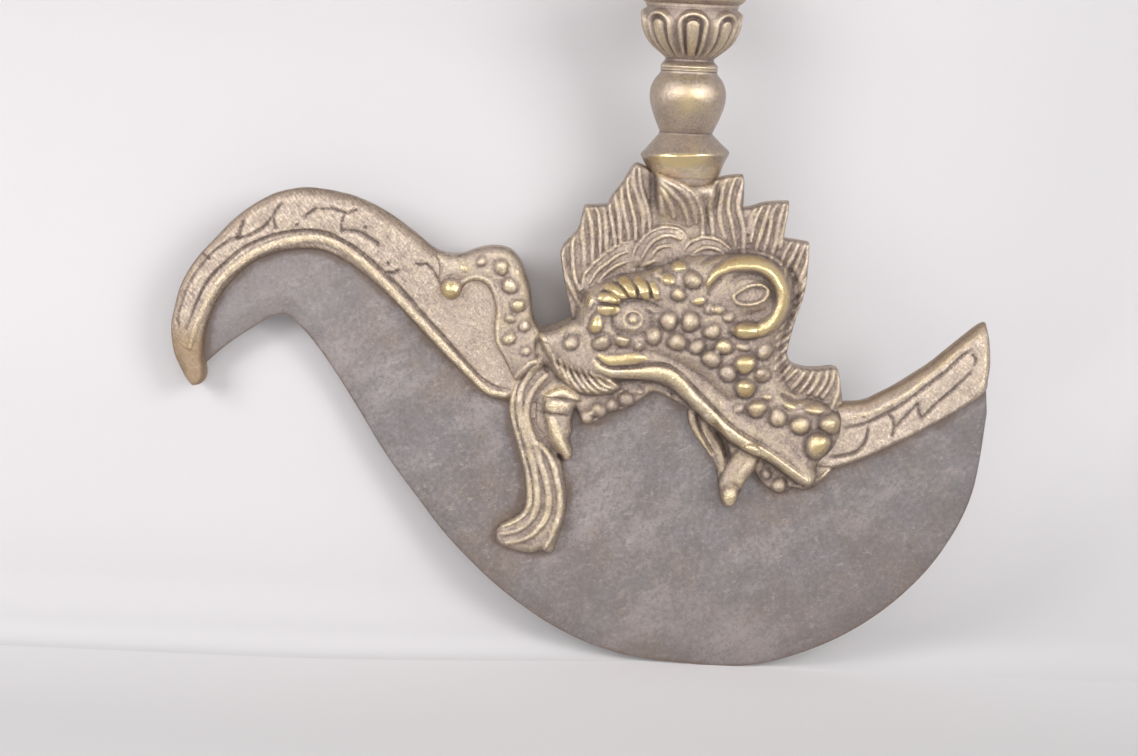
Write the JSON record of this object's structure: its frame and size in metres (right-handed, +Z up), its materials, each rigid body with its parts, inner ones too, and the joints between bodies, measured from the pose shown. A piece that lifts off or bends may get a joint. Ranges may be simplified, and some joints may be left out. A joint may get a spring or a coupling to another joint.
{
  "type": "kartika chopper",
  "caption": "Ritual crescent chopper: iron blade with a hooked end, brass rails and a makara head casting on each face, and an upright lotus handle ending in a half vajra.",
  "frame": {"origin": "on the handle's axis, at the foot of the handle where it stands on the makara crest", "axes": "+Z up along the handle, +X towards the blade's plain right end, -Y out of the front face; the blade lies in the XZ plane"},
  "size_m": [0.1705, 0.0248, 0.1831],
  "materials": {
    "iron": "dull forged iron with a grey-brown patina",
    "aged_brass": "aged cast brass, dark in the hollows and bright yellow on the high points",
    "handle_brass": "aged brass rubbed brighter by the hand",
    "pin_brass": "dull brass"
  },
  "bodies": {
    "root": {"blade": "iron", "rail_left": "aged_brass", "rail_right": "aged_brass", "rail_pins": "pin_brass", "makara_front": "aged_brass", "makara_back": "aged_brass", "head_pegs": "pin_brass", "foot_ring": "handle_brass", "neck_block": "handle_brass", "bead": "handle_brass", "neck_ring": "handle_brass", "lotus_bud": "handle_brass", "lotus_band": "handle_brass", "vajra_hub": "handle_brass", "hub_pin": "pin_brass", "side_prong_1": "handle_brass", "side_prong_2": "handle_brass", "side_prong_3": "handle_brass", "side_prong_4": "handle_brass", "centre_prong": "handle_brass"}
  },
  "joints": []
}
